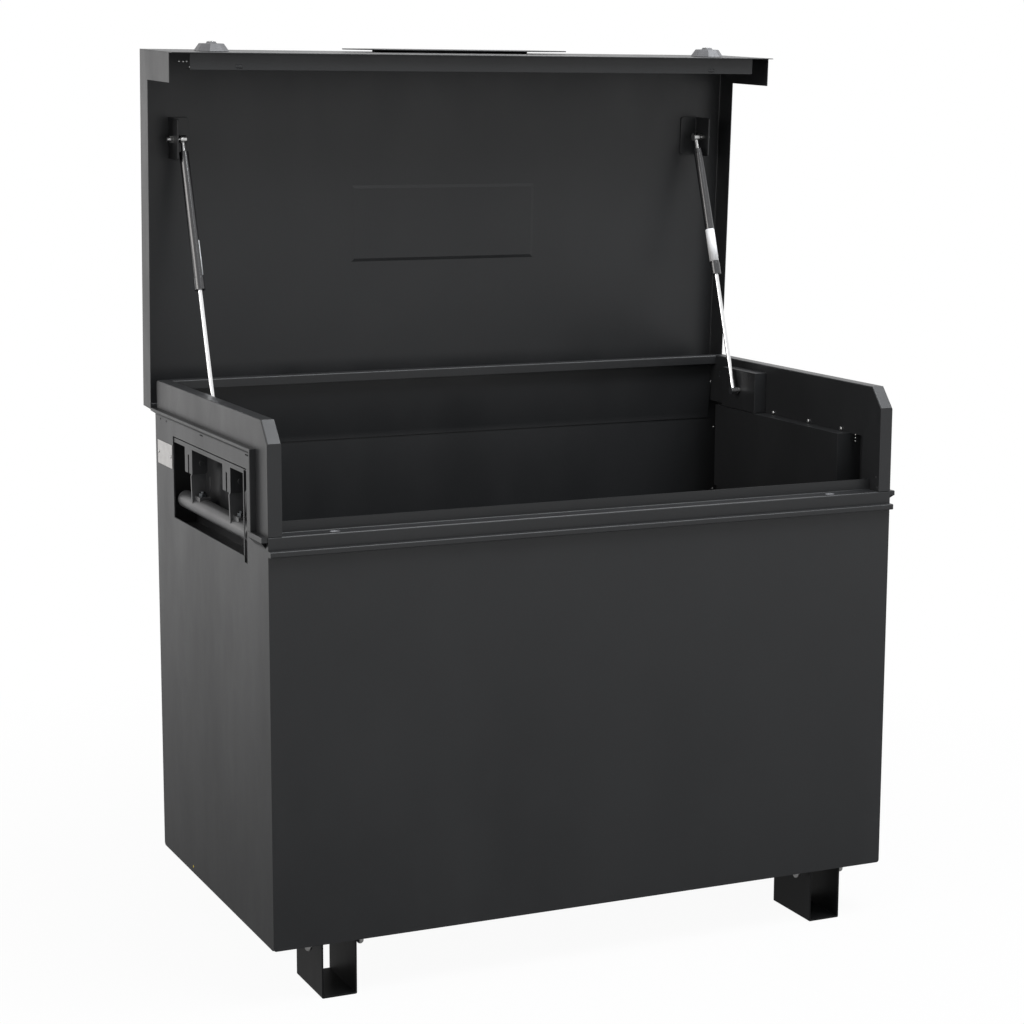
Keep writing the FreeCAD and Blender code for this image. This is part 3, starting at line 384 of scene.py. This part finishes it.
def turned(name, start, axis, profile, material, body, sides=24):
    """A profile of (radius, distance) in millimetres, turned about an axis and closed at its ends."""
    axis = Vector(axis).normalized()
    first = axis.orthogonal().normalized()
    second = axis.cross(first).normalized()
    points = []
    for radius, along in profile:
        for i in range(sides):
            angle = 2 * math.pi * i / sides
            spoke = first * math.cos(angle) + second * math.sin(angle)
            points.append(start + axis * along / 1000 + spoke * radius / 1000)
    faces = []
    for ring in range(len(profile) - 1):
        faces += ring_faces(ring, ring + 1, sides)
    faces.append(tuple(range(sides)))
    faces.append(tuple((len(profile) - 1) * sides + i for i in range(sides)))
    add_piece(name, points, faces, material, body)


def rivet(name, start, axis, radius, high, material, body, slot):
    """A low dome."""
    profile = [(radius, -0.2), (radius, 0)]
    for share in (0.3, 0.6, 0.85, 1.0):
        profile.append((radius * math.sqrt(1 - 0.96 * share * share), high * share))
    turned(name, start, axis, profile, material, body, sides=16)


def rivets(name, places, *form):
    """Rivets or weld spots that are alike, each a piece with its number in its name."""
    for i, place in enumerate(places):
        rivet(name + "_" + str(i), place, *form)


def bead(name, first_end, second_end, radius, material, body):
    """A short rib or weld bead between two places, rounded off at its ends."""
    length = (second_end - first_end).length * 1000
    profile = [(0.15 * radius, 0), (0.7 * radius, 0.4 * radius), (radius, radius),
               (radius, length - radius), (0.7 * radius, length - 0.4 * radius), (0.15 * radius, length)]
    turned(name, first_end, second_end - first_end, profile, material, body, sides=12)


def strut_label(side_name, middle, half_span):
    """A bare label bent round a strut's tube, about a direction given in degrees."""
    top = Vector(joints[side_name + "_strut_swing"]["pos_m"])
    down = -Vector(joints[side_name + "_strut_stroke"]["axis"]).normalized()
    across = Vector((1, 0, 0))
    ahead = down.cross(across).normalized()
    if ahead.y > 0:
        ahead = -ahead
    points = []
    steps = 20
    for radius in (label_inner_radius, label_outer_radius):
        for along in (label_start, label_end):
            for i in range(steps + 1):
                angle = math.radians(middle - half_span + 2 * half_span * i / steps)
                spoke = across * math.sin(angle) + ahead * math.cos(angle)
                points.append(top + down * along / 1000 + spoke * radius / 1000)
    row = steps + 1
    faces = []
    for i in range(steps):
        faces.append((i, i + 1, row + i + 1, row + i))
        faces.append((2 * row + i, 2 * row + i + 1, 3 * row + i + 1, 3 * row + i))
        faces.append((i, i + 1, 2 * row + i + 1, 2 * row + i))
        faces.append((row + i, row + i + 1, 3 * row + i + 1, 3 * row + i))
    for end in (0, steps):
        faces.append((end, row + end, 3 * row + end, 2 * row + end))
    add_piece(side_name + "_strut_label", points, faces, label_vinyl, side_name + "_tube")


def slot_liner(side_name, side):
    """A thin pressed rim round a lock bolt's slot in the ledge, as rings of (radius, height)."""
    rim = ((5.0, 805.0), (5.0, 809.0), (5.3, 809.5), (5.9, 809.5), (6.2, 809.0),
           (4.4, 809.0), (4.4, 805.0))
    points = []
    steps = 10
    for radius, z in rim:
        for end in (1, -1):
            for i in range(steps + 1):
                angle = math.radians(-90 + 180 * i / steps)
                x = side * bolt_slot_x + end * (bolt_slot_straight + radius * math.cos(angle))
                y = bolt_slot_y + end * radius * math.sin(angle)
                points.append(at(x, y, z))
    faces = []
    for ring in range(len(rim)):
        faces += ring_faces(ring, (ring + 1) % len(rim), 2 * (steps + 1))
    add_piece(side_name + "_slot_liner", points, faces, bumper_plastic, "box")


def key_cylinder(side_name, side):
    """A key cylinder set in a knob's grip bar, with its slot as a thin near-black box of painted shade."""
    face = lid_at(side * knob_x, lid_front_y - knob_gap - grip_bar_high, knob_z)
    outwards = (lid_at(0, -1, 0) - lid_at(0, 0, 0)).normalized()
    up = (lid_at(0, 0, 1) - lid_at(0, 0, 0)).normalized()
    across = Vector((1, 0, 0))
    turned(side_name + "_key_cylinder", face, outwards,
           [(4.6, -0.5), (4.6, 0.5), (4.2, 0.8), (0.3, 0.8)], zinc, side_name + "_knob")
    # The keyway is drawn as a thin near-black box: painted shade where the real slot is a hole.
    half_wide = 0.6
    half_high = 2.8
    points = []
    for level in (0.7, 0.95):
        for u, w in ((-half_wide, -half_high), (half_wide, -half_high),
                     (half_wide, half_high), (-half_wide, half_high)):
            points.append(face + outwards * level / 1000 + across * u / 1000 + up * w / 1000)
    faces = [(0, 1, 2, 3), (4, 5, 6, 7)] + ring_faces(0, 1, 4)
    add_piece(side_name + "_key_slot_shade", points, faces, painted_shade_black, side_name + "_knob", False)


def side_pieces(side_name, side):
    """The small pieces that one side of the box has, and the other side mirrors."""
    slot_liner(side_name, side)
    key_cylinder(side_name, side)
    front = (0, -1, 0)
    out = (side, 0, 0)
    inwards = (-side, 0, 0)
    collar_x = side * collar_inner_x
    # Two small rivets at the collar's rear end, and two inside the rear corner.
    rivets(side_name + "_collar_rivet", [at(collar_x, 601.0, z) for z in (967.0, 958.0)],
           inwards, 1.5, 0.7, dull_zinc, "box", "zinc_steel")
    rivets(side_name + "_corner_rivet", [at(side * 592.0, back_panel_y, z) for z in (847.0, 717.0)],
           front, 2.2, 1.2, zinc, "box", "zinc_steel")
    rivets(side_name + "_side_rivet", [at(side * side_face_x, y, 930.0) for y in (616.8, 578.8)],
           out, 2.0, 0.9, paint, "box", "body_paint")
    # A stitch weld down the end of the handle pocket, and a rib pressed in its back.
    rivets(side_name + "_pocket_weld", [at(collar_x, pocket_weld_y, z) for z in (904.0, 898.0, 892.0)],
           inwards, 1.8, 0.9, zinc, "box", "zinc_steel")
    rib_foot, rib_head = [at(side * pocket_back_x, pocket_rib_y, z) for z in (809.0, 838.0)]
    bead(side_name + "_pocket_rib", rib_foot, rib_head, 1.0, handle_paint, "box")
    # Rivets through the end of the lid's top, beside the rail.
    lid_places = ((535.4, 9.6), (527.4, 10.2), (520.7, 9.8), (515.0, 19.9))
    rivets(side_name + "_lid_rivet", [lid_at(side * x, y, lid_inner_z) for x, y in lid_places],
           lid_at(0, 0, 0) - lid_at(0, 0, 1), 2.0, 0.9, zinc, "lid", "zinc_steel")
    # Weld spots where the post stands on the ledge.
    rivets(side_name + "_post_weld", [at(collar_x, y, z) for y, z in ((10.0, 835.0), (5.6, 816.0))],
           inwards, 1.3, 0.6, handle_paint, "box", "handle_paint")


def make_small_pieces():
    """What is too small or too thin for the solids."""
    strut_label("right", middle=-20, half_span=105)
    strut_label("left", middle=118, half_span=78)
    side_pieces("left", -1)
    side_pieces("right", 1)
    # Stitch weld beads along the underside of the lip, coloured near-black as painted shade.
    for i, x in enumerate((-291.0, -29.4, 265.0, 558.0)):
        bead("lip_weld_shade_" + str(i), at(x - lip_weld_half, lip_under_y, lip_under_z),
             at(x + lip_weld_half, lip_under_y, lip_under_z), 1.1, painted_shade_black, "box")
    # A small yellow mark low on the left side.
    rivet("yellow_mark", at(-side_face_x, 461.0, 109.2), (-1, 0, 0), 2.2, 0.4, mark_yellow, "box",
          "body_paint")


make_small_pieces()


# Stage and light
def make_floor():
    """A pale floor that fades to white round the box. In reflections its glow is dimmed near the box, as a painted
    shadow.
    """
    bpy.ops.mesh.primitive_plane_add(size=40, location=(0, 0, 0))
    floor = bpy.context.object
    floor.name = "floor"
    g = Finish("pale_floor")
    g.done(Roughness=0.9, Specular_IOR_Level=0.1, Base_Color=(0.80, 0.80, 0.80, 1))
    glow = g.node("ShaderNodeEmission")
    glow.inputs["Color"].default_value = (1, 1, 1, 1)
    distance = g.node("ShaderNodeVectorMath", operation="LENGTH")
    g.link(g.place, distance.inputs[0])

    def fade(near, far, least):
        """From a least value near the box to 1 far from it."""
        made = g.node("ShaderNodeMapRange")
        made.inputs["From Min"].default_value = near
        made.inputs["From Max"].default_value = far
        made.inputs["To Min"].default_value = least
        g.link(distance.outputs["Value"], made.inputs["Value"])
        return made.outputs["Result"]

    rays = g.node("ShaderNodeLightPath")
    straight = g.math("MAXIMUM", rays.outputs["Is Camera Ray"], rays.outputs["Is Transmission Ray"])
    seen = g.math("MULTIPLY", fade(near=0.7, far=2.0, least=0.95), straight)
    share = g.math("MAXIMUM", seen, rays.outputs["Is Glossy Ray"])
    # For reflections the floor glows dimmer near the box, rising to full far away: a painted shadow of the box on
    # the floor.
    strength = g.math("MAXIMUM", straight, fade(near=0.75, far=5.0, least=0.24))
    g.link(strength, glow.inputs["Strength"])
    g.surface(share, g.shader.outputs[0], glow.outputs[0], "Material Output")
    floor.data.materials.append(g.material)


def make_world():
    """A white background, and a soft fill that lights the box."""
    world = bpy.data.worlds.new("studio")
    bpy.context.scene.world = world
    g = Graph(world)
    white = g.tree.nodes["Background"]
    white.inputs["Color"].default_value = (1, 1, 1, 1)
    white.inputs["Strength"].default_value = 1.0
    fill = g.node("ShaderNodeBackground")
    fill.inputs["Color"].default_value = (0.96, 0.98, 1.0, 1)
    fill.inputs["Strength"].default_value = 0.36
    rays = g.node("ShaderNodeLightPath")
    seen = g.math("MAXIMUM", rays.outputs["Is Camera Ray"], rays.outputs["Is Glossy Ray"])
    share = g.math("MAXIMUM", seen, rays.outputs["Is Transmission Ray"])
    g.surface(share, fill.outputs[0], white.outputs[0], "World Output")


def area_light(name, place, target, size, power, colour):
    """A soft box that looks at a point, with its size in metres and its power in watts."""
    data = bpy.data.lights.new(name, "AREA")
    data.shape = "RECTANGLE"
    data.size, data.size_y = size
    data.energy = power
    data.color = colour
    lamp = bpy.data.objects.new(name, data)
    bpy.context.scene.collection.objects.link(lamp)
    lamp.location = place
    lamp.rotation_euler = (Vector(target) - Vector(place)).to_track_quat("-Z", "Y").to_euler()


bpy.context.scene.view_settings.view_transform = "Standard"
make_camera()
make_floor()
make_world()
area_light("key", place=(-4.2, -0.6, 2.6), target=(0, 0, 0.8), size=(2.6, 2.2), power=70,
           colour=(1.0, 0.965, 0.94))
area_light("overhead", place=(1.2, -1.2, 3.8), target=(0.3, -0.2, 0.9), size=(3.0, 1.5), power=122,
           colour=(0.94, 0.965, 1.0))
area_light("rear_left", place=(-3.6, 5.0, 1.2), target=(-0.6, 0, 0.9), size=(3.0, 1.4), power=9,
           colour=(1.0, 0.95, 0.94))
